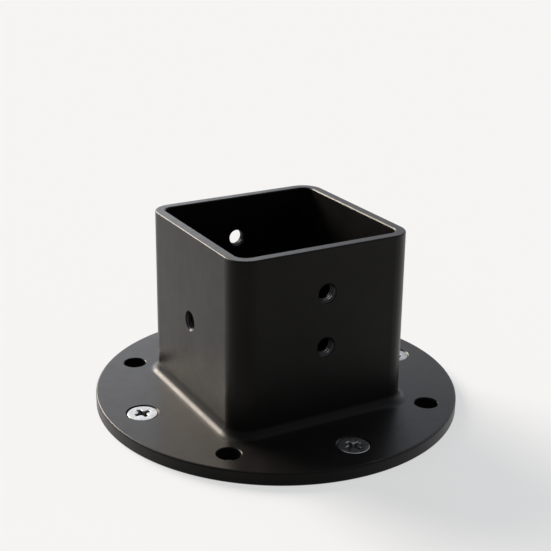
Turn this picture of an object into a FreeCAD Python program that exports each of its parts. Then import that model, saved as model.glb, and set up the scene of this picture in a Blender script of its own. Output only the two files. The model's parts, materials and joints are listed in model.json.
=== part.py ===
import FreeCAD, Part
import os
import re
import Sketcher

# Post base: a square socket with round corners, standing on a round flange, in one piece.
# Four countersunk wood screws hold the flange down, and four plain holes take heavier anchors instead.
# The socket's two walls across Y have a pair of tapped holes each and the two across X one hole each,
# for screws that grip what stands in the socket.
# Frame: the origin is the centre of the flange's underside, +Z points up, and the socket's faces look
# along X and Y. Lengths are in millimetres and angles in degrees.

# Driving sizes: alias, value and meaning.
SIZES = [
    ("post_side", 89.0, "side of the square post that the socket takes"),
    ("post_clearance", 1.5, "room between the post and each wall"),
    ("wall", 5.5, "thickness of the socket's walls"),
    ("inner_corner", 6.0, "radius of the socket's inside corners"),
    ("socket_height", 94.5, "height of the socket above the flange"),
    ("rim_round", 0.8, "rounding of the rim's outer edge"),
    ("rim_break", 0.5, "chamfer of the rim's inner edge"),
    ("root_round", 5.0, "concave radius where the socket meets the flange"),
    ("flange_thickness", 7.0, "thickness of the round flange"),
    ("flange_round", 1.0, "rounding of the flange's upper edge"),
    ("flange_break", 0.5, "chamfer of the flange's lower edge"),
    ("flange_margin", 8.75, "metal between an anchor hole and the flange's edge"),
    ("anchor_hole", 12.5, "diameter of the plain anchor holes"),
    ("anchor_break", 0.4, "chamfer at the mouth of an anchor hole"),
    ("anchor_margin", 4.2, "flat metal between the socket's root at its corner and an anchor hole"),
    ("around", 4, "anchor holes, and screws, evenly spaced round the flange"),
    ("head_diameter", 16.0, "diameter of a screw's head"),
    ("head_angle", 90.0, "full angle of the head's cone and of its seat"),
    ("head_land", 0.4, "height of the head's straight edge"),
    ("head_sink", 0.35, "depth of the head's top below the flange's top"),
    ("seat_gap", 0.1, "room round the head's cone, measured square to the screw's axis"),
    ("seat_margin", 14.15, "flat metal between the socket's root and a countersink's mouth"),
    ("thread_diameter", 8.0, "outside diameter of a screw's thread"),
    ("thread_clearance", 0.5, "room between the thread and its hole in the flange"),
    ("core_diameter", 5.6, "diameter of a screw under its thread"),
    ("screw_length", 60.0, "length of a screw from the head's top to the point"),
    ("point_length", 6.0, "length of a screw's point"),
    ("recess_span", 9.4, "length of a wing slot of the cross recess at the head's top"),
    ("recess_wing", 2.0, "width of a wing slot at the head's top"),
    ("recess_depth", 3.8, "depth of the wing slots"),
    ("recess_foot_span", 4.6, "length of a wing slot at its floor"),
    ("recess_foot_wing", 1.4, "width of a wing slot at its floor"),
    ("recess_mouth", 4.6, "diameter of the recess's middle cone at the head's top"),
    ("recess_point", 3.6, "depth of the recess's middle cone"),
    ("grip_hole", 10.0, "outside diameter of the thread in the socket's side holes"),
    ("grip_break", 0.5, "chamfer at the outer mouth of a side hole"),
    ("pair_drop", 24.0, "depth of the upper hole of a pair below the rim"),
    ("pair_pitch", 29.0, "distance between the two holes of a pair"),
    ("single_drop", 48.0, "depth of a single side hole below the rim"),
]
ALIASES = {alias for alias, value, meaning in SIZES}

# Sizes worked out from the driving ones.
SOCKET_INSIDE = "(post_side + 2 * post_clearance)"
SOCKET_OUTSIDE = f"({SOCKET_INSIDE} + 2 * wall)"
OUTER_CORNER = "(inner_corner + wall)"
RIM_LEVEL = "(flange_thickness + socket_height)"
CORNER_REACH = f"(({SOCKET_OUTSIDE} / 2 - {OUTER_CORNER}) * sqrt(2) + {OUTER_CORNER})"
ANCHOR_RADIUS = f"({CORNER_REACH} + root_round + anchor_margin + anchor_hole / 2)"
FLANGE_RADIUS = f"({ANCHOR_RADIUS} + anchor_hole / 2 + flange_margin)"
SEAT_MOUTH = "(head_diameter + 2 * (head_sink + head_land) * tan(head_angle / 2) + 2 * seat_gap)"
SEAT_HOLE = "(thread_diameter + 2 * thread_clearance)"
SCREW_RADIUS = f"({SOCKET_OUTSIDE} / 2 + root_round + seat_margin + {SEAT_MOUTH} / 2)"
HEAD_TOP = "(flange_thickness - head_sink)"
HEAD_CONE = "((head_diameter - core_diameter) / 2 / tan(head_angle / 2))"

NEAR = 0.001  # mm within which two places count as the same


def make_sheet(doc):
    """The spreadsheet of driving sizes: alias, value and meaning in a row each."""
    sheet = doc.addObject("Spreadsheet::Sheet", "Sizes")
    for row, (alias, value, meaning) in enumerate(SIZES, start=1):
        sheet.set(f"A{row}", alias)
        sheet.set(f"B{row}", str(value))
        sheet.setAlias(f"B{row}", alias)
        sheet.set(f"C{row}", meaning)
    doc.recompute()


def formula(text):
    """An expression whose aliases are read from the sheet."""

    def read_from_sheet(word):
        name = word.group()
        return f"Sizes.{name}" if name in ALIASES else name

    return re.sub("[a-z_]+", read_from_sheet, text)


def value_of(item, text):
    """The number that a formula gives now, in the document that holds the item."""
    return float(item.Document.Sizes.evalExpression(formula(text)))


def origin_of(body, role):
    """One of the body's own origin planes or axes."""
    return next(item for item in body.Origin.OriginFeatures if item.Role == role)


# Sketches: every corner and centre is held at a formula, so a changed size moves it.


def add_sketch(body, name, plane, x="0", y="0", out="0", turn=0):
    """A sketch on an origin plane, with its own origin moved along the plane and out of it."""
    sketch = body.newObject("Sketcher::SketchObject", name)
    sketch.AttachmentSupport = [(origin_of(body, plane), "")]
    sketch.MapMode = "FlatFace"
    normal = FreeCAD.Vector(0, 0, 1)
    sketch.AttachmentOffset = FreeCAD.Placement(FreeCAD.Vector(), FreeCAD.Rotation(normal, turn))
    for axis, text in (("x", x), ("y", y), ("z", out)):
        if text != "0":
            sketch.setExpression(f"AttachmentOffset.Base.{axis}", formula(text))
    return sketch


def hold_size(sketch, kind, ends, text):
    """Add a dimension to a sketch and tie it to a formula."""
    index = sketch.addConstraint(Sketcher.Constraint(kind, *ends, value_of(sketch, text)))
    sketch.setExpression(f"Constraints[{index}]", formula(text))


def hold_point(sketch, geometry, point, x, y):
    """Hold a sketch point at formulas along X and Y from the sketch's origin."""
    for kind, crossing_axis, text in (("DistanceX", -2, x), ("DistanceY", -1, y)):
        number = value_of(sketch, text)
        if abs(number) < NEAR:
            sketch.addConstraint(Sketcher.Constraint("PointOnObject", geometry, point, crossing_axis))
        elif number > 0:
            hold_size(sketch, kind, (-1, 1, geometry, point), text)
        else:
            hold_size(sketch, kind, (geometry, point, -1, 1), f"-({text})")


def draw_polygon(sketch, corners):
    """A closed outline of straight lines between corners given as pairs of formulas."""
    places = [FreeCAD.Vector(value_of(sketch, x), value_of(sketch, y), 0) for x, y in corners]
    for start, end in zip(places, places[1:] + places[:1]):
        sketch.addGeometry(Part.LineSegment(start, end))
    for index, (x, y) in enumerate(corners):
        before = (index - 1) % len(corners)
        sketch.addConstraint(Sketcher.Constraint("Coincident", before, 2, index, 1))
        hold_point(sketch, index, 1, x, y)


def draw_rectangle(sketch, width, depth):
    """A rectangle centred on the sketch's origin."""
    signs = ((-1, -1), (1, -1), (1, 1), (-1, 1))
    draw_polygon(sketch, [(f"{x} * {width} / 2", f"{y} * {depth} / 2") for x, y in signs])


def draw_circle(sketch, diameter, x="0", y="0"):
    """A circle centred at a place given by formulas."""
    centre = FreeCAD.Vector(value_of(sketch, x), value_of(sketch, y), 0)
    normal = FreeCAD.Vector(0, 0, 1)
    circle = sketch.addGeometry(Part.Circle(centre, normal, value_of(sketch, diameter) / 2))
    hold_size(sketch, "Diameter", (circle,), diameter)
    hold_point(sketch, circle, 3, x, y)


# Features, each with its plain properties set and its sizes tied to formulas.


def add_feature(body, kind, name, sizes=None, **settings):
    """A feature of the body: settings are plain values and sizes are formulas."""
    feature = body.newObject(f"PartDesign::{kind}", name)
    for prop, value in settings.items():
        setattr(feature, prop, value)
    for prop, text in (sizes or {}).items():
        feature.setExpression(prop, formula(text))
    return feature


def add_cut(body, kind, name, sizes=None, **settings):
    """A cutting feature, which must take material away."""
    feature = add_feature(body, kind, name, sizes, **settings)
    body.Document.recompute()
    if feature.Shape.Volume >= feature.BaseFeature.Shape.Volume - NEAR:
        raise RuntimeError(f"{name} cuts nothing")
    return feature


def add_pattern(body, name, **settings):
    """Copies, evenly spaced round the Z axis."""
    full_turn = {"Axis": (origin_of(body, "Z_Axis"), [""]), "Angle": 360}
    copies = {"Occurrences": "around"}
    body.Tip = add_feature(body, "PolarPattern", name, copies, **full_turn, **settings)


def dress_edges(body, kind, name, size, chosen):
    """A fillet or chamfer of the body's edges that pass the test."""
    body.Document.recompute()
    tip = body.Tip
    names = [f"Edge{index}" for index, edge in enumerate(tip.Shape.Edges, start=1) if chosen(edge)]
    if not names:
        raise RuntimeError(f"{name} finds no edge")
    prop = {"Fillet": "Radius", "Chamfer": "Size"}[kind]
    add_feature(body, kind, name, {prop: size}, Base=(tip, names))
    body.Document.recompute()


# Tests that pick edges by where they lie.


def is_level(edge, height):
    """Whether a whole edge lies at a height."""
    box = edge.BoundBox
    return abs(box.ZMin - height) < NEAR and abs(box.ZMax - height) < NEAR


def is_upright(edge):
    """Whether an edge is a straight line along Z."""
    box = edge.BoundBox
    return box.XLength < NEAR and box.YLength < NEAR


def is_circle(edge, diameter):
    """Whether an edge is a circle of a diameter."""
    return isinstance(edge.Curve, Part.Circle) and abs(2 * edge.Curve.Radius - diameter) < NEAR


def half_width(point):
    """Half the side of the square, centred on the Z axis, that a point lies on."""
    return max(abs(point.x), abs(point.y))


def middle(edge):
    """The point halfway along an edge."""
    return edge.valueAt((edge.FirstParameter + edge.LastParameter) / 2)


# The socket and its flange.


def add_flange(body):
    """The round flange with its dressed edges."""
    outline = add_sketch(body, "FlangeOutline", "XY_Plane")
    draw_circle(outline, f"2 * {FLANGE_RADIUS}")
    add_feature(body, "Pad", "Flange", {"Length": "flange_thickness"}, Profile=outline)
    top = value_of(body, "flange_thickness")
    dress_edges(body, "Fillet", "FlangeTop", "flange_round", lambda edge: is_level(edge, top))
    dress_edges(body, "Chamfer", "FlangeUnder", "flange_break", lambda edge: is_level(edge, 0))


def add_socket(body):
    """The hollow square socket, with round corners, a concave root and a dressed rim."""
    foot = value_of(body, "flange_thickness")
    rim = value_of(body, RIM_LEVEL)
    half_outside = value_of(body, SOCKET_OUTSIDE) / 2
    half_inside = value_of(body, SOCKET_INSIDE) / 2

    outside = add_sketch(body, "SocketOutside", "XY_Plane", out="flange_thickness")
    draw_rectangle(outside, SOCKET_OUTSIDE, SOCKET_OUTSIDE)
    add_feature(body, "Pad", "Socket", {"Length": "socket_height"}, Profile=outside)

    def is_outer_corner(edge):
        return is_upright(edge) and abs(half_width(middle(edge)) - half_outside) < NEAR

    dress_edges(body, "Fillet", "OuterCorners", OUTER_CORNER, is_outer_corner)

    def is_root(edge):
        return is_level(edge, foot) and half_width(middle(edge)) < half_outside + NEAR

    dress_edges(body, "Fillet", "Root", "root_round", is_root)
    dress_edges(body, "Fillet", "RimOutside", "rim_round", lambda edge: is_level(edge, rim))

    inside = add_sketch(body, "SocketInside", "XY_Plane", out=RIM_LEVEL)
    draw_rectangle(inside, SOCKET_INSIDE, SOCKET_INSIDE)
    add_cut(body, "Pocket", "Hollow", {"Length": "socket_height"}, Profile=inside)

    def is_inner_corner(edge):
        return is_upright(edge) and abs(half_width(middle(edge)) - half_inside) < NEAR

    dress_edges(body, "Fillet", "InnerCorners", "inner_corner", is_inner_corner)

    def is_inner_rim(edge):
        return is_level(edge, rim) and half_width(middle(edge)) < half_inside + NEAR

    dress_edges(body, "Chamfer", "RimInside", "rim_break", is_inner_rim)


def add_anchor_holes(body):
    """Plain through holes on the socket's diagonals."""
    sketch = add_sketch(body, "AnchorCircle", "XY_Plane", out="flange_thickness")
    diagonal = f"{ANCHOR_RADIUS} / sqrt(2)"
    draw_circle(sketch, "anchor_hole", diagonal, diagonal)
    drill = add_cut(body, "Pocket", "AnchorHole", Profile=sketch, Type="ThroughAll")
    add_pattern(body, "AnchorHoles", Originals=[drill])
    top = value_of(body, "flange_thickness")
    diameter = value_of(body, "anchor_hole")

    def is_mouth(edge):
        return is_level(edge, top) and is_circle(edge, diameter)

    dress_edges(body, "Chamfer", "AnchorMouths", "anchor_break", is_mouth)


def add_screw_seats(body):
    """Countersunk holes for the screws, at the middle of each side of the socket."""
    sketch = add_sketch(body, "SeatCircle", "XY_Plane", out="flange_thickness")
    draw_circle(sketch, SEAT_HOLE, SCREW_RADIUS)
    body.Document.recompute()
    sizes = {"Diameter": SEAT_HOLE, "HoleCutDiameter": SEAT_MOUTH, "HoleCutCountersinkAngle": "head_angle"}
    cut = {"DepthType": "ThroughAll", "HoleCutType": "Countersink", "HoleCutCustomValues": True}
    seat = add_cut(body, "Hole", "Seat", sizes, Profile=sketch, **cut)
    add_pattern(body, "Seats", Originals=[seat])


def add_grip_holes(body):
    """The bores of the tapped holes, through both walls: a pair along Y and a single one along X."""
    upper = f"({RIM_LEVEL} - pair_drop)"
    drills = (
        ("PairUpper", "XZ_Plane", upper),
        ("PairLower", "XZ_Plane", f"({upper} - pair_pitch)"),
        ("Single", "YZ_Plane", f"({RIM_LEVEL} - single_drop)"),
    )
    for name, plane, level in drills:
        sketch = add_sketch(body, f"{name}Circle", plane)
        draw_circle(sketch, "grip_hole", y=level)
        reach = {"Length": f"{SOCKET_OUTSIDE} + 2 * wall"}
        add_cut(body, "Pocket", f"{name}Hole", reach, Profile=sketch, SideType="Symmetric")
    half_outside = value_of(body, SOCKET_OUTSIDE) / 2
    diameter = value_of(body, "grip_hole")

    def is_outer_mouth(edge):
        return is_circle(edge, diameter) and abs(half_width(edge.Curve.Center) - half_outside) < NEAR

    dress_edges(body, "Chamfer", "GripMouths", "grip_break", is_outer_mouth)


def make_socket_base(doc):
    """The socket and its flange, one piece."""
    body = doc.addObject("PartDesign::Body", "SocketBase")
    body.Label = "socket_base"
    add_flange(body)
    add_socket(body)
    add_anchor_holes(body)
    add_screw_seats(body)
    add_grip_holes(body)
    return body


# The screws.


def add_cross_recess(body):
    """Two crossed wing slots that narrow with depth; the revolved profile holds the cone between them."""
    for name, turn in (("First", 0), ("Second", 90)):
        place = {"plane": "XY_Plane", "x": SCREW_RADIUS, "turn": turn}
        mouth = add_sketch(body, f"{name}WingMouth", out=HEAD_TOP, **place)
        draw_rectangle(mouth, "recess_span", "recess_wing")
        floor = add_sketch(body, f"{name}WingFloor", out=f"{HEAD_TOP} - recess_depth", **place)
        draw_rectangle(floor, "recess_foot_span", "recess_foot_wing")
        add_cut(body, "SubtractiveLoft", f"{name}Wing", Profile=mouth, Sections=[floor], Ruled=True)


def make_deck_screws(doc):
    """The wood screws in their seats, each a solid of its own, without the ridge of the thread."""
    body = doc.addObject("PartDesign::Body", "DeckScrews")
    body.Label = "deck_screws"
    body.AllowCompound = True
    profile = add_sketch(body, "ScrewProfile", "XZ_Plane", x=SCREW_RADIUS, y=HEAD_TOP)
    corners = [
        ("0", "-recess_point"),
        ("recess_mouth / 2", "0"),
        ("head_diameter / 2", "0"),
        ("head_diameter / 2", "-head_land"),
        ("core_diameter / 2", f"-(head_land + {HEAD_CONE})"),
        ("core_diameter / 2", "-(screw_length - point_length)"),
        ("0", "-screw_length"),
    ]
    draw_polygon(profile, corners)
    axis = (profile, ["V_Axis"])
    add_feature(body, "Revolution", "Screw", Profile=profile, ReferenceAxis=axis, Angle=360)
    add_cross_recess(body)
    add_pattern(body, "Screws", TransformMode="Whole shape")
    return body


def write_parts(doc, bodies):
    """Check the whole document, then write each body's solids to a file of its own."""
    for item in doc.Objects:
        if {"Invalid", "Error"} & set(item.State):
            raise RuntimeError(f"{item.Label} failed to build: {item.State}")
    for body in bodies:
        if body.Shape.isNull() or not body.Shape.isValid():
            raise RuntimeError(f"{body.Label} has no valid shape")
    os.makedirs("parts", exist_ok=True)
    for body in bodies:
        body.Shape.exportStep(f"parts/{body.Label}.step")
        print(body.Label, len(body.Shape.Solids), "solids,", round(body.Shape.Volume), "cubic mm")


def main():
    """Build the document and write its parts."""
    doc = FreeCAD.newDocument("PostBase")
    make_sheet(doc)
    bodies = [make_socket_base(doc), make_deck_screws(doc)]
    doc.recompute()
    write_parts(doc, bodies)


main()
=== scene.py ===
import json
import math

import bmesh
import bpy
from bpy.props import FloatProperty, FloatVectorProperty, PointerProperty
from bpy.types import Operator, Panel, PropertyGroup
from mathutils import Matrix, Vector


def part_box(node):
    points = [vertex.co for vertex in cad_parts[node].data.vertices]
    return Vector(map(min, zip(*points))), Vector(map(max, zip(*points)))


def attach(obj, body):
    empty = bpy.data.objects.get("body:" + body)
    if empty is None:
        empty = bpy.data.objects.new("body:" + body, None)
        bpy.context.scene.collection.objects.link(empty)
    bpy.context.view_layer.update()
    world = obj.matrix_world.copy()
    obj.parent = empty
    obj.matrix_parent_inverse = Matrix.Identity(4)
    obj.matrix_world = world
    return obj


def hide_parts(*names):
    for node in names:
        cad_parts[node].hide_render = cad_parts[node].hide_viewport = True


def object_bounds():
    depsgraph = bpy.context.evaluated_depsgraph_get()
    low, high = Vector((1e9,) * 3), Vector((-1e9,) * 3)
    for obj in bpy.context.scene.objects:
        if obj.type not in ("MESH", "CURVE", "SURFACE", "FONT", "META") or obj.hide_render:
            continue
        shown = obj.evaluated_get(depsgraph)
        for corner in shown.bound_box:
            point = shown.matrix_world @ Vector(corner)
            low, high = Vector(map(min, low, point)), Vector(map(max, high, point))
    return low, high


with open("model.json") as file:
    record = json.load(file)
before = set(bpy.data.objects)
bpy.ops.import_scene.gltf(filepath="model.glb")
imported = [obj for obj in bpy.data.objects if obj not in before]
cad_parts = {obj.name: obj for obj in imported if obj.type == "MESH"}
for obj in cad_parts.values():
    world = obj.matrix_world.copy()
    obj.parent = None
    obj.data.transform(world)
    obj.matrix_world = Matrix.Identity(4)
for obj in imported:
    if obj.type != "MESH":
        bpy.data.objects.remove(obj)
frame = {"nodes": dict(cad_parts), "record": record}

bl_info = {
    "name": "Post Base",
    "version": (1, 0, 0),
    "blender": (4, 5, 0),
    "location": "3D View > Sidebar > Post Base",
    "description": "Coats a post base, lines its tapped holes, drives its screws and sets a studio stage",
    "category": "Object",
}

# The post base is in metres, with its origin at the centre of the flange's underside and +Z up.
CAD_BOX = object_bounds()
SCREW_LOW, SCREW_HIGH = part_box("deck_screws")
MM = 0.001


def length(name, description, default):
    """A property that holds a length in metres."""
    return FloatProperty(
        name=name, description=description, default=default, unit="LENGTH", precision=5, min=0)


def angle(name, description, degrees):
    """A property that holds an angle."""
    return FloatProperty(name=name, description=description, default=math.radians(degrees), subtype="ANGLE")


def factor(name, description, default):
    """A property that holds a share from nothing to all."""
    return FloatProperty(
        name=name, description=description, default=default, subtype="FACTOR", min=0, max=1)


def strength(name, description, default):
    """A property that holds the strength of a light."""
    return FloatProperty(name=name, description=description, default=default, min=0)


def camera_size(name, description, default):
    """A property that holds a size inside the camera in millimetres."""
    return FloatProperty(name=name, description=description, default=default, unit="CAMERA")


def colour(name, description, default):
    """A property that holds a colour."""
    return FloatVectorProperty(
        name=name, description=description, default=default, subtype="COLOR", min=0, max=1)


def spot(name, description, default):
    """A property that holds a place in metres."""
    return FloatVectorProperty(
        name=name, description=description, default=default, subtype="TRANSLATION", unit="LENGTH",
        precision=5)


class PowderCoatSettings(PropertyGroup):
    """The black powder coat on the socket and its flange."""

    shade: colour("Colour", "Colour of the coat", (0.0062, 0.0057, 0.0053))
    dusty_shade: colour(
        "Dusty colour", "Colour where the coat looks a little dusty", (0.0094, 0.0088, 0.0083))
    gloss: colour(
        "Gloss", "Share of the gloss that is left where the coat is seen square on", (0.11, 0.105, 0.1))
    smooth: factor("Lowest roughness", "Roughness where the coat flowed smoothest", 0.33)
    dull: factor("Highest roughness", "Roughness where the coat is dullest", 0.385)
    sheen: length("Sheen width", "Width of the smoother and the duller patches", 7 * MM)
    dust: length("Dust width", "Width of the dusty patches", 24 * MM)
    grain: length("Grain width", "Width of the coat's fine grain", 0.45 * MM)
    grain_height: length("Grain height", "Height of the coat's fine grain", 0.006 * MM)
    ripple: length("Ripple width", "Width of the soft ripple left as the coat melted", 2.6 * MM)
    ripple_height: length("Ripple height", "Height of the soft ripple", 0.006 * MM)


class GripThreadSettings(PropertyGroup):
    """The threads of the tapped holes in the socket's walls."""

    half_width: length(
        "Socket half width", "Distance from the socket's axis to a wall's outer face", 51.5 * MM)
    wall: length("Wall", "Thickness of a wall", 5.5 * MM)
    bore: length("Bore radius", "Radius of the drilled hole, at the roots of the thread", 5 * MM)
    crest: length("Crest radius", "Radius at the crests of the thread", 4.2 * MM)
    pitch: length("Pitch", "Distance from one turn of the thread to the next", 1.5 * MM)
    mouth: length("Mouth depth", "Depth of the chamfer at the outer mouth", 0.5 * MM)
    shade: colour("Colour", "Colour of the blackened steel", (0.02, 0.02, 0.021))
    bright_shade: colour("Bright colour", "Colour of the brightest tool marks", (0.034, 0.034, 0.0357))
    smooth: factor("Lowest roughness", "Roughness where the cut is smoothest", 0.34)
    dull: factor("Highest roughness", "Roughness where the cut is dullest", 0.48)
    sheen: length("Sheen width", "Width of the smoother and the duller patches", 0.9 * MM)
    marks: length("Tool mark width", "Width of the tool marks", 0.35 * MM)
    mark_height: length("Tool mark height", "Height of the tool marks", 0.006 * MM)


class DeckScrewSettings(PropertyGroup):
    """The countersunk wood screws."""

    head: length("Head radius", "Radius of the head", 8 * MM)
    land: length("Land", "Height of the head's straight edge", 0.4 * MM)
    core: length("Core radius", "Radius under the thread", 2.8 * MM)
    thread: length("Thread radius", "Radius at the crest of the thread", 4 * MM)
    pitch: length("Pitch", "Distance from one turn of the thread to the next", 3.6 * MM)
    point: length("Point", "Length of the point", 6 * MM)
    wing: length("Wing reach", "Reach of a recess wing from the screw's axis", 4.3 * MM)
    wing_foot: length("Wing foot reach", "Reach of a recess wing at its floor", 2.3 * MM)
    wing_width: length("Wing width", "Width of a recess wing at the head's top", 2.2 * MM)
    wing_foot_width: length("Wing foot width", "Width of a recess wing at its floor", 1.4 * MM)
    waist: length("Waist", "Distance from the axis to the recess wall between two wings", 2.3 * MM)
    waist_foot: length("Waist foot", "Distance from the axis to that wall at the floor", 0.9 * MM)
    recess: length("Recess depth", "Depth of the recess wings", 3.8 * MM)
    recess_point: length("Recess point", "Depth of the recess's middle", 3.9 * MM)
    bright: colour("Bright colour", "Colour of the brightest zinc", (0.42, 0.42, 0.415))
    grey: colour("Grey colour", "Colour of the dullest zinc", (0.3, 0.3, 0.3))
    smooth: factor("Lowest roughness", "Roughness where the zinc is smoothest", 0.26)
    dull: factor("Highest roughness", "Roughness where the zinc is dullest", 0.38)
    sheen: length("Sheen width", "Width of the smoother and the duller patches", 1.5 * MM)
    crystals: length("Crystal width", "Width of the zinc's crystals", 0.9 * MM)
    rings: length("Ring spacing", "Distance from one turned ring to the next", 0.3 * MM)
    ring_height: length("Ring height", "Height of the turned rings", 0.001 * MM)
    pits: length("Pit width", "Width of the pits in the zinc", 0.3 * MM)
    pit_depth: length("Pit depth", "Depth of the pits in the zinc", 0.003 * MM)
    # The recess colours are painted shade: the zinc inside the cross recess is darker than the head, darker
    # still in random patches.
    recess_shade: colour("Recess colour", "Colour of the dull zinc inside the recess", (0.18, 0.18, 0.173))
    dark_recess_shade: colour(
        "Dark recess colour", "Colour where the recess holds most grease", (0.072, 0.072, 0.0692))
    recess_smooth: factor("Lowest recess roughness", "Roughness where the recess is smoothest", 0.36)
    recess_dull: factor("Highest recess roughness", "Roughness where the recess is dullest", 0.5)
    recess_patches: length("Smear width", "Width of the smears of grease in the recess", 0.6 * MM)
    recess_patch_height: length("Smear height", "Height of the smears of grease", 0.01 * MM)


class StageSettings(PropertyGroup):
    """The floor, the light and the camera."""

    floor: colour("Floor colour", "Colour of the floor", (0.79, 0.83, 0.88))
    fleck_shade: colour("Fleck colour", "Colour of the floor's faint flecks", (0.7821, 0.8217, 0.8712))
    fleck: length("Fleck width", "Width of the floor's faint flecks", 4 * MM)
    floor_white: factor("Floor white", "Share of plain white that the floor shows to the eye", 0.62)
    white_start: factor(
        "White start", "Share of the flange's radius from which the floor turns to white", 0.97)
    floor_radius: length("Floor radius", "Radius of the round floor", 8.0)
    backdrop: colour("Backdrop colour", "Colour of the backdrop behind the base", (0.76, 0.79, 0.86))
    sky: strength("Sky strength", "Strength of the light from all round", 0.13)
    sky_shade: colour("Sky colour", "Colour of the light from all round", (0.86, 0.94, 1.0))
    key: strength("Key strength", "Strength of the main light", 5.2)
    key_shade: colour("Key colour", "Colour of the main light", (1.0, 0.88, 0.74))
    key_width: angle("Key width", "Width of the main light as seen from the base", 29)
    key_bearing: angle("Key bearing", "Bearing of the main light, from -Y towards +X", -163)
    key_height: angle("Key height", "Height of the main light over the floor", 28)
    back: strength("Back strength", "Strength of the soft light behind the base", 1.0)
    back_shade: colour("Back colour", "Colour of the soft light behind the base", (0.95, 0.97, 1.0))
    back_width: angle("Back width", "Width of the back light as seen from the base", 60)
    back_bearing: angle("Back bearing", "Bearing of the back light, from -Y towards +X", -178)
    back_height: angle("Back height", "Height of the back light over the floor", 22)
    camera: spot("Camera place", "Where the camera stands", (-0.28607, -0.50248, 0.28762))
    target: spot("Camera target", "Where the camera looks", (-0.00828, 0.0349, 0.07867))
    lens: camera_size("Lens", "Focal length of the camera", 75.236)
    sensor: camera_size("Sensor width", "Width of the camera's sensor", 36)
    shift: FloatVectorProperty(
        name="Shift", description="Shift of the camera's picture, across and up", size=2,
        default=(0.0775, -0.0581))


# Materials.

# Length of one ring of the wave texture at a scale of one.
WAVE_LENGTH = 0.314


def add_node(tree, kind, inputs=None, **settings):
    """A node whose inputs are set to values or linked to other nodes' outputs."""
    node = tree.nodes.new(kind)
    for name, value in settings.items():
        setattr(node, name, value)
    for name, value in (inputs or {}).items():
        if isinstance(value, bpy.types.NodeSocket):
            tree.links.new(value, node.inputs[name])
        else:
            node.inputs[name].default_value = value
    return node


def new_material(name):
    """An empty node material, its tree and the place of each point on its piece."""
    material = bpy.data.materials.new(name)
    material.use_nodes = True
    tree = material.node_tree
    tree.nodes.clear()
    place = add_node(tree, "ShaderNodeTexCoord").outputs["Object"]
    return material, tree, place


def finish_surface(tree, inputs):
    """The shader of a solid surface."""
    shader = add_node(tree, "ShaderNodeBsdfPrincipled", inputs)
    add_node(tree, "ShaderNodeOutputMaterial", {"Surface": shader.outputs["BSDF"]})


def noise(tree, place, width, detail):
    """Noise whose lumps are about as wide as given, in metres."""
    inputs = {"Vector": place, "Scale": 1 / width, "Detail": detail}
    return add_node(tree, "ShaderNodeTexNoise", inputs).outputs["Fac"]


def spread(tree, value, low, high, start=0.3, end=0.7):
    """A value stretched from its middle range to a new range."""
    inputs = {"Value": value, "From Min": start, "From Max": end, "To Min": low, "To Max": high}
    return add_node(tree, "ShaderNodeMapRange", inputs).outputs["Result"]


def blend_colours(tree, share, first, second):
    """A colour between two by a share."""
    inputs = {0: share, 6: (*first, 1), 7: (*second, 1)}
    return add_node(tree, "ShaderNodeMix", inputs, data_type="RGBA").outputs[2]


def mix_shaders(tree, share, first, second):
    """A shader between two by a share."""
    return add_node(tree, "ShaderNodeMixShader", {0: share, 1: first, 2: second}).outputs["Shader"]


def raise_bumps(tree, height, rise, under=None):
    """Bumps of a height in metres, laid over others."""
    inputs = {"Height": height, "Distance": rise, "Strength": 1}
    if under:
        inputs["Normal"] = under
    return add_node(tree, "ShaderNodeBump", inputs).outputs["Normal"]


def powder_coat_material(settings):
    """Satin black powder coat: fine grain over a soft ripple, a little dusty in places."""
    material, tree, place = new_material("powder_coat_black")
    grain = noise(tree, place, settings.grain, detail=3)
    ripple = noise(tree, place, settings.ripple, detail=1)
    dust = spread(tree, noise(tree, place, settings.dust, detail=4), 0, 1)
    sheen = noise(tree, place, settings.sheen, detail=3)
    soft = raise_bumps(tree, ripple, settings.ripple_height)
    finish_surface(tree, {
        "Base Color": blend_colours(tree, dust, settings.shade, settings.dusty_shade),
        "Roughness": spread(tree, sheen, settings.smooth, settings.dull),
        "Specular Tint": (*settings.gloss, 1),
        "Normal": raise_bumps(tree, grain, settings.grain_height, soft),
    })
    return material


def blackened_steel_material(settings):
    """Cut steel blackened by the coat's wash: dark, with tool marks."""
    material, tree, place = new_material("blackened_thread")
    marks = noise(tree, place, settings.marks, detail=3)
    brightness = spread(tree, marks, 0, 1)
    sheen = noise(tree, place, settings.sheen, detail=2)
    finish_surface(tree, {
        "Base Color": blend_colours(tree, brightness, settings.shade, settings.bright_shade),
        "Metallic": 1.0,
        "Roughness": spread(tree, sheen, settings.smooth, settings.dull),
        "Normal": raise_bumps(tree, marks, settings.mark_height),
    })
    return material


def zinc_material(settings):
    """Bright zinc plating: small mottled crystals, fine turned rings and scattered pits."""
    material, tree, place = new_material("zinc_bright")
    crystals = add_node(tree, "ShaderNodeTexVoronoi", {"Vector": place, "Scale": 1 / settings.crystals})
    mottle = add_node(tree, "ShaderNodeSeparateColor", {"Color": crystals.outputs["Color"]})
    wave = {"Vector": place, "Scale": WAVE_LENGTH / settings.rings, "Distortion": 2.0, "Detail": 2}
    rings = add_node(tree, "ShaderNodeTexWave", wave, wave_type="RINGS", rings_direction="Z")
    turned = raise_bumps(tree, rings.outputs["Fac"], settings.ring_height)
    pits = noise(tree, place, settings.pits, detail=3)
    sheen = noise(tree, place, settings.sheen, detail=4)
    finish_surface(tree, {
        "Base Color": blend_colours(tree, mottle.outputs["Red"], settings.bright, settings.grey),
        "Metallic": 1.0,
        "Roughness": spread(tree, sheen, settings.smooth, settings.dull),
        "Normal": raise_bumps(tree, pits, settings.pit_depth, turned),
    })
    return material


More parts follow.
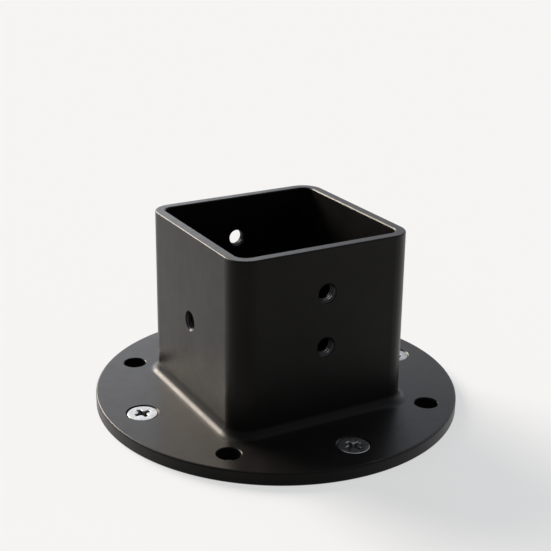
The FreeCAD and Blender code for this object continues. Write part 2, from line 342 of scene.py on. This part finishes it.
def recess_shade_material(settings):
    """Painted shade inside the cross recess: zinc darker than on the head, darker and duller still in
    random patches.
    """
    material, tree, place = new_material("zinc_recess_painted_shade")
    recess_patches = noise(tree, place, settings.recess_patches, detail=3)
    deeper_shade = spread(tree, recess_patches, 0, 1)
    finish_surface(tree, {
        # Painted shade: darker zinc in the recess, darker still in the patches.
        "Base Color": blend_colours(tree, deeper_shade, settings.recess_shade, settings.dark_recess_shade),
        "Metallic": 1.0,
        "Roughness": spread(tree, recess_patches, settings.recess_smooth, settings.recess_dull),
        "Normal": raise_bumps(tree, recess_patches, settings.recess_patch_height),
    })
    return material


def seen_rays(tree):
    """One for what the camera sees, straight on or in a reflection, and nothing for light on the scene."""
    path = add_node(tree, "ShaderNodeLightPath")
    seen = path.outputs["Is Camera Ray"]
    for ray in ("Is Glossy Ray", "Is Transmission Ray"):
        either = add_node(tree, "ShaderNodeMath", {0: seen, 1: path.outputs[ray]}, operation="MAXIMUM")
        seen = either.outputs[0]
    return seen


def floor_material(settings):
    """A plain pale matt floor that looks nearly white, takes the shadow and is dark under the base."""
    material, tree, place = new_material("floor_pale")
    flecks = spread(tree, noise(tree, place, settings.fleck, detail=3), 0, 1)
    shade = blend_colours(tree, flecks, settings.floor, settings.fleck_shade)
    matt = add_node(tree, "ShaderNodeBsdfDiffuse", {"Color": shade})
    white = add_node(tree, "ShaderNodeEmission", {"Color": (1, 1, 1, 1), "Strength": 1})
    away = add_node(tree, "ShaderNodeVectorMath", {0: place}, operation="LENGTH").outputs["Value"]
    edge = CAD_BOX[1].x
    open_floor = spread(tree, away, 0, settings.floor_white, settings.white_start * edge, edge)
    share = add_node(tree, "ShaderNodeMath", {0: seen_rays(tree), 1: open_floor}, operation="MULTIPLY")
    surface = mix_shaders(tree, share.outputs[0], matt.outputs["BSDF"], white.outputs["Emission"])
    add_node(tree, "ShaderNodeOutputMaterial", {"Surface": surface})
    return material


# Meshes.

# Points of a mesh that lie closer together than this become one.
WELD = 0.0005 * MM


def polar(radius, turn, level):
    """A point at a radius, a turn round Z and a level."""
    return Vector((radius * math.cos(turn), radius * math.sin(turn), level))


def join_rows(mesh, rows, closed, finish=0):
    """Faces between each row of points and the next; closed rows run all the way round."""
    placed = [[mesh.verts.new(point) for point in row] for row in rows]
    for lower, upper in zip(placed, placed[1:]):
        count = len(lower)
        for first in range(count if closed else count - 1):
            second = (first + 1) % count
            face = mesh.faces.new((lower[first], lower[second], upper[second], upper[first]))
            face.material_index = finish
    return placed


def join_tip(mesh, ring, tip, finish=0):
    """A fan of faces from a ring to one point."""
    top = mesh.verts.new(tip)
    for first, second in zip(ring, ring[1:] + ring[:1]):
        face = mesh.faces.new((first, second, top))
        face.material_index = finish


def helix_rows(turns, section, pitch, low, high, radius_at):
    """Rows of points along a thread, held between two levels; a row meets itself one turn on."""
    rows = []
    first_turn = math.floor(low / pitch) - 1
    for whole in range(first_turn, math.ceil(high / pitch) + 1):
        for share, height in section:
            row = []
            for turn in turns:
                level = min(max(pitch * (whole + share + turn / math.tau), low), high)
                row.append(polar(radius_at(level, height), turn, level))
            rows.append(row)
    return rows


def finish_mesh(mesh, name, crease):
    """A welded, closed mesh with outward faces, smooth up to an angle."""
    bmesh.ops.remove_doubles(mesh, verts=mesh.verts, dist=WELD)
    bmesh.ops.recalc_face_normals(mesh, faces=mesh.faces)
    gaps = [edge for edge in mesh.edges if len(edge.link_faces) != 2]
    if gaps:
        raise RuntimeError(f"{name} has {len(gaps)} open edges")
    data = bpy.data.meshes.new(name)
    mesh.to_mesh(data)
    mesh.free()
    data.shade_smooth()
    data.set_sharp_from_angle(angle=crease)
    return data


def add_piece(name, data, place):
    """A new piece of the object, in its place on the base."""
    piece = bpy.data.objects.new(name, data)
    bpy.context.collection.objects.link(piece)
    piece.matrix_world = place
    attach(piece, "root")
    return piece


# The threads of the tapped holes.

# Points round a lining, and the angle from which its edges stay sharp.
LINING_POINTS = 64
LINING_CREASE = math.radians(50)
# The roots of the thread stand this far inside the drilled hole.
ROOT_GAP = 0.03 * MM
# The back of the lining lies this deep in the wall.
BACK_SINK = 0.06 * MM
# The chamfer at the inner end narrows by this much for each unit of depth.
EXIT_SLOPE = 1.5
# One turn of the thread: shares of the pitch, each with its share of the way from root to crest.
GRIP_THREAD_SECTION = (
    (0, 0), (0.125, 0), (0.2, 0.25), (0.28, 0.5), (0.36, 0.76),
    (0.43, 1), (0.68, 1), (0.75, 0.76), (0.83, 0.5), (0.92, 0.25),
)


def grip_hole_places(half_width):
    """The name, mouth and outward direction of each tapped hole's thread, from the record's mounts."""
    places = []
    for mount in frame["record"]["mounts"]:
        if "grip_hole" not in mount["name"]:
            continue
        outward = Vector(mount["axis"])
        centre = Vector(mount["pos_m"])
        mouth = centre + outward * (half_width - centre.dot(outward))
        count = mount["dims"].get("count", 1)
        spacing = mount["dims"].get("spacing_y_mm", 0) * MM
        for index in range(count):
            rise = Vector((0, 0, spacing * (index - (count - 1) / 2)))
            places.append((f"{mount['name']}_thread_{index + 1}", mouth + rise, outward))
    return places


def thread_lining(settings):
    """The lining of one tapped hole: threaded inside, with its back sunk in the wall."""
    root = settings.bore - ROOT_GAP
    back = settings.bore + BACK_SINK
    outer = settings.wall - settings.mouth

    def radius_at(level, height):
        """The radius at a level, for a share of the way from root to crest."""
        inside = root + (settings.crest - root) * height
        mouth = settings.bore - (outer - level)
        exit_cone = settings.bore - level * EXIT_SLOPE
        return max(inside, mouth, exit_cone)

    turns = [math.tau * index / LINING_POINTS for index in range(LINING_POINTS + 1)]
    thread = helix_rows(turns, GRIP_THREAD_SECTION, settings.pitch, 0, outer, radius_at)
    outline = [(settings.bore, 0), (back, 0), (back, outer), (settings.bore, outer)]
    rings = [[polar(radius, turn, level) for turn in turns[:-1]] for radius, level in outline]
    mesh = bmesh.new()
    join_rows(mesh, thread, closed=False)
    join_rows(mesh, rings, closed=True)
    return finish_mesh(mesh, "grip_thread", LINING_CREASE)


class POST_BASE_OT_line_tapped_holes(Operator):
    """Line the tapped holes of the socket's walls with their threads"""

    bl_idname = "post_base.line_tapped_holes"
    bl_label = "Line tapped holes"

    def execute(self, context):
        settings = context.scene.post_base_threads
        data = thread_lining(settings)
        data.materials.append(blackened_steel_material(settings))
        for name, mouth, outward in grip_hole_places(settings.half_width):
            turn = outward.to_track_quat("Z", "Y").to_matrix().to_4x4()
            inner_face = Matrix.Translation(mouth - outward * settings.wall)
            add_piece(name, data, inner_face @ turn)
        return {"FINISHED"}


# The deck screws.

# The screws' sides, going round from +X. Each stopped at its own angle when it was driven, in degrees.
SCREW_STOPS = (("right", 31), ("back", -8), ("left", 10), ("front", 13))
# Where a screw's rings have points, in degrees from the middle of a recess wing.
RING_STEPS = (4, 8, 10.5, 11.9, 12.3, 14, 16.5, 19.5, 22.5, 25.7, 27.5, 32, 38)
# The angle from which the edges of a screw stay sharp.
SCREW_CREASE = math.radians(38)
# The soft edges of the head: steps in from its side, each with its rise from the straight edge's foot.
LOWER_EDGE = ((0.08 * MM, -0.08 * MM), (0, 0.04 * MM))
# The same at the top of the head, each with its rise from the top.
UPPER_EDGE = ((0, -0.25 * MM), (0.07 * MM, -0.1 * MM), (0.22 * MM, -0.02 * MM), (0.45 * MM, 0))
# The radius of the recess's soft lip, and how far round it its rings lie, in degrees.
LIP_RADIUS = 0.2 * MM
LIP_BENDS = (0, 30, 60, 90)
# The smallest sine that a wing's half width is divided by, at the middle of the wing.
LEAST_SINE = 0.01
# Length of the tip that has no thread, and the share of the point along which the thread grows.
BARE_TIP = 0.5 * MM
RUN_IN = 0.7
# One turn of the thread: shares of the pitch, each with its share of the way from core to crest.
SCREW_THREAD_SECTION = ((0, 0), (0.3, 0), (0.345, 0.08), (0.46, 1), (0.5, 1), (0.615, 0.08), (0.66, 0))


def screw_turns():
    """The turns of a screw's rings, close together at the edges of the recess wings."""
    beside = [-step for step in reversed(RING_STEPS)] + [0] + list(RING_STEPS) + [45]
    return [math.radians(90 * quarter + step) for quarter in range(4) for step in beside]


def cross_ring(turns, reach, width, waist, level):
    """The outline of the cross recess at one level: four blunt wings, with a round waist between them."""
    ring = []
    for turn in turns:
        away = abs((turn + math.pi / 4) % (math.pi / 2) - math.pi / 4)
        side = width / 2 / max(math.sin(away), LEAST_SINE)
        ring.append(polar(min(reach / math.cos(away), max(side, waist)), turn, level))
    return ring


def widened(ring, step, drop):
    """A ring moved out, square to its own outline, and down."""
    moved = []
    for index, point in enumerate(ring):
        along = ring[(index + 1) % len(ring)] - ring[index - 1]
        outward = Vector((along.y, -along.x, 0)).normalized()
        moved.append(point + outward * step - Vector((0, 0, drop)))
    return moved


def screw_head_rings(settings, turns, top):
    """Rings from under the head, over its edge and top, to the soft lip of the recess."""
    cone = settings.head - settings.core
    profile = [(settings.core, -settings.land - cone)]
    profile += [(settings.head - step, -settings.land + rise) for step, rise in LOWER_EDGE]
    profile += [(settings.head - step, rise) for step, rise in UPPER_EDGE]
    rings = [[polar(radius, turn, top + rise) for turn in turns] for radius, rise in profile]
    mouth = cross_ring(turns, settings.wing, settings.wing_width, settings.waist, top)
    for degrees in LIP_BENDS:
        bend = math.radians(degrees)
        step = LIP_RADIUS * (1 - math.sin(bend))
        drop = LIP_RADIUS * (1 - math.cos(bend))
        rings.append(widened(mouth, step, drop))
    return rings


def recess_foot_ring(settings, turns, top):
    """The outline of the cross recess at the floor of its wings."""
    level = top - settings.recess
    return cross_ring(turns, settings.wing_foot, settings.wing_foot_width, settings.waist_foot, level)


def screw_mesh(settings, top, tip):
    """One screw along Z: threaded shank and point, countersunk head and cross recess."""
    turns = screw_turns()
    once_round = turns + [turns[0] + math.tau]
    shank_top = top - settings.land - (settings.head - settings.core)
    low = tip + BARE_TIP

    def radius_at(level, height):
        """The radius at a level, for a share of the way from core to crest."""
        body = min(1, (level - tip) / settings.point)
        run_in = min(1, (level - low) / (RUN_IN * settings.point))
        run_out = min(1, (shank_top - level) / settings.pitch)
        return settings.core * body + (settings.thread - settings.core) * height * min(run_in, run_out)

    thread = helix_rows(once_round, SCREW_THREAD_SECTION, settings.pitch, low, shank_top, radius_at)
    head = screw_head_rings(settings, turns, top)
    mesh = bmesh.new()
    join_rows(mesh, thread, closed=False)
    join_rows(mesh, head, closed=True)
    # The recess's faces take the second material, which paints shade into the recess.
    recess = join_rows(mesh, [head[-1], recess_foot_ring(settings, turns, top)], closed=True, finish=1)
    join_tip(mesh, recess[-1], Vector((0, 0, top - settings.recess_point)), finish=1)
    low_ring = [mesh.verts.new(polar(radius_at(low, 0), turn, low)) for turn in turns]
    join_tip(mesh, low_ring, Vector((0, 0, tip)))
    return finish_mesh(mesh, "deck_screw", SCREW_CREASE)


class POST_BASE_OT_drive_deck_screws(Operator):
    """Drive the four countersunk screws through the flange"""

    bl_idname = "post_base.drive_deck_screws"
    bl_label = "Drive deck screws"

    def execute(self, context):
        settings = context.scene.post_base_screws
        data = screw_mesh(settings, SCREW_HIGH.z, SCREW_LOW.z)
        data.materials.append(zinc_material(settings))
        # The second material is painted shade for the cross recess.
        data.materials.append(recess_shade_material(settings))
        reach = SCREW_HIGH.x - settings.head
        for index, (side, stop) in enumerate(SCREW_STOPS):
            seat = Matrix.Rotation(math.pi / 2 * index, 4, "Z") @ Matrix.Translation((reach, 0, 0))
            place = seat @ Matrix.Rotation(math.radians(stop), 4, "Z")
            screw = add_piece(f"deck_screw_{side}", data, place)
            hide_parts("deck_screws")
        return {"FINISHED"}


# The socket and its flange.


class POST_BASE_OT_coat_socket(Operator):
    """Give the socket and its flange their black powder coat"""

    bl_idname = "post_base.coat_socket"
    bl_label = "Coat socket and flange"

    def execute(self, context):
        base = frame["nodes"]["socket_base"]
        base.material_slots[0].material = powder_coat_material(context.scene.post_base_coat)
        return {"FINISHED"}


# The stage.

# Straight sides round the floor's edge.
FLOOR_SIDES = 96


def add_floor(settings):
    """A wide round floor under the base."""
    mesh = bmesh.new()
    bmesh.ops.create_circle(mesh, cap_ends=True, segments=FLOOR_SIDES, radius=settings.floor_radius)
    data = bpy.data.meshes.new("floor")
    mesh.to_mesh(data)
    mesh.free()
    data.materials.append(floor_material(settings))
    floor = bpy.data.objects.new("floor", data)
    bpy.context.collection.objects.link(floor)


def background(tree, shade, brightness):
    """A background of one colour."""
    inputs = {"Color": (*shade, 1), "Strength": brightness}
    return add_node(tree, "ShaderNodeBackground", inputs).outputs["Background"]


def light_sky(scene, settings):
    """Even light from all round, over a pale backdrop that shows in reflections too."""
    world = bpy.data.worlds.new("studio")
    world.use_nodes = True
    tree = world.node_tree
    tree.nodes.clear()
    even = background(tree, settings.sky_shade, settings.sky)
    backdrop = background(tree, settings.backdrop, 1)
    surface = mix_shaders(tree, seen_rays(tree), even, backdrop)
    add_node(tree, "ShaderNodeOutputWorld", {"Surface": surface})
    scene.world = world


def add_lamp(name, energy, shade, width, bearing, height):
    """A soft lamp far off, at a bearing from -Y towards +X and a height over the floor."""
    lamp = bpy.data.lights.new(name, "SUN")
    lamp.energy = energy
    lamp.color = shade
    lamp.angle = width
    light = bpy.data.objects.new(name, lamp)
    level = math.cos(height)
    towards = Vector((level * math.sin(bearing), -level * math.cos(bearing), math.sin(height)))
    light.rotation_euler = towards.to_track_quat("Z", "Y").to_euler()
    # The place of such a lamp doesn't change its light, so it only stands clear of the base.
    light.location = towards
    bpy.context.collection.objects.link(light)


def add_camera(scene, settings):
    """The camera that sees the base from its front left corner and a little above."""
    data = bpy.data.cameras.new("camera")
    data.lens = settings.lens
    data.sensor_width = settings.sensor
    data.shift_x, data.shift_y = settings.shift
    camera = bpy.data.objects.new("camera", data)
    sight = Vector(settings.target) - Vector(settings.camera)
    turn = sight.to_track_quat("-Z", "Y").to_matrix().to_4x4()
    camera.matrix_world = Matrix.Translation(settings.camera) @ turn
    bpy.context.collection.objects.link(camera)
    scene.camera = camera


class POST_BASE_OT_set_stage(Operator):
    """Set the floor, the light and the camera"""

    bl_idname = "post_base.set_stage"
    bl_label = "Set stage"

    def execute(self, context):
        scene = context.scene
        settings = scene.post_base_stage
        add_floor(settings)
        light_sky(scene, settings)
        add_lamp(
            "key_light", settings.key, settings.key_shade, settings.key_width, settings.key_bearing,
            settings.key_height)
        add_lamp(
            "back_light", settings.back, settings.back_shade, settings.back_width, settings.back_bearing,
            settings.back_height)
        add_camera(scene, settings)
        scene.view_settings.view_transform = "Standard"
        return {"FINISHED"}


# The sidebar and the whole job.


class POST_BASE_PT_sidebar(Panel):
    """The pieces and finishes of the post base"""

    bl_idname = "POST_BASE_PT_sidebar"
    bl_label = "Post Base"
    bl_space_type = "VIEW_3D"
    bl_region_type = "UI"
    bl_category = "Post Base"

    def draw(self, context):
        layout = self.layout
        for attribute, settings, operator in GROUPS:
            box = layout.box()
            box.operator(operator.bl_idname)
            group = getattr(context.scene, attribute)
            for name in settings.__annotations__:
                box.prop(group, name)


GROUPS = (
    ("post_base_coat", PowderCoatSettings, POST_BASE_OT_coat_socket),
    ("post_base_threads", GripThreadSettings, POST_BASE_OT_line_tapped_holes),
    ("post_base_screws", DeckScrewSettings, POST_BASE_OT_drive_deck_screws),
    ("post_base_stage", StageSettings, POST_BASE_OT_set_stage),
)


def register():
    """Register the settings, the operators and the panel."""
    for attribute, settings, operator in GROUPS:
        bpy.utils.register_class(settings)
        bpy.utils.register_class(operator)
        setattr(bpy.types.Scene, attribute, PointerProperty(type=settings))
    bpy.utils.register_class(POST_BASE_PT_sidebar)


def unregister():
    """Take the panel, the operators and the settings away again."""
    bpy.utils.unregister_class(POST_BASE_PT_sidebar)
    for attribute, settings, operator in reversed(GROUPS):
        delattr(bpy.types.Scene, attribute)
        bpy.utils.unregister_class(operator)
        bpy.utils.unregister_class(settings)


def main():
    """Dress the whole post base and set its stage."""
    register()
    bpy.ops.post_base.coat_socket()
    bpy.ops.post_base.line_tapped_holes()
    bpy.ops.post_base.drive_deck_screws()
    bpy.ops.post_base.set_stage()


if __name__ == "__main__":
    main()
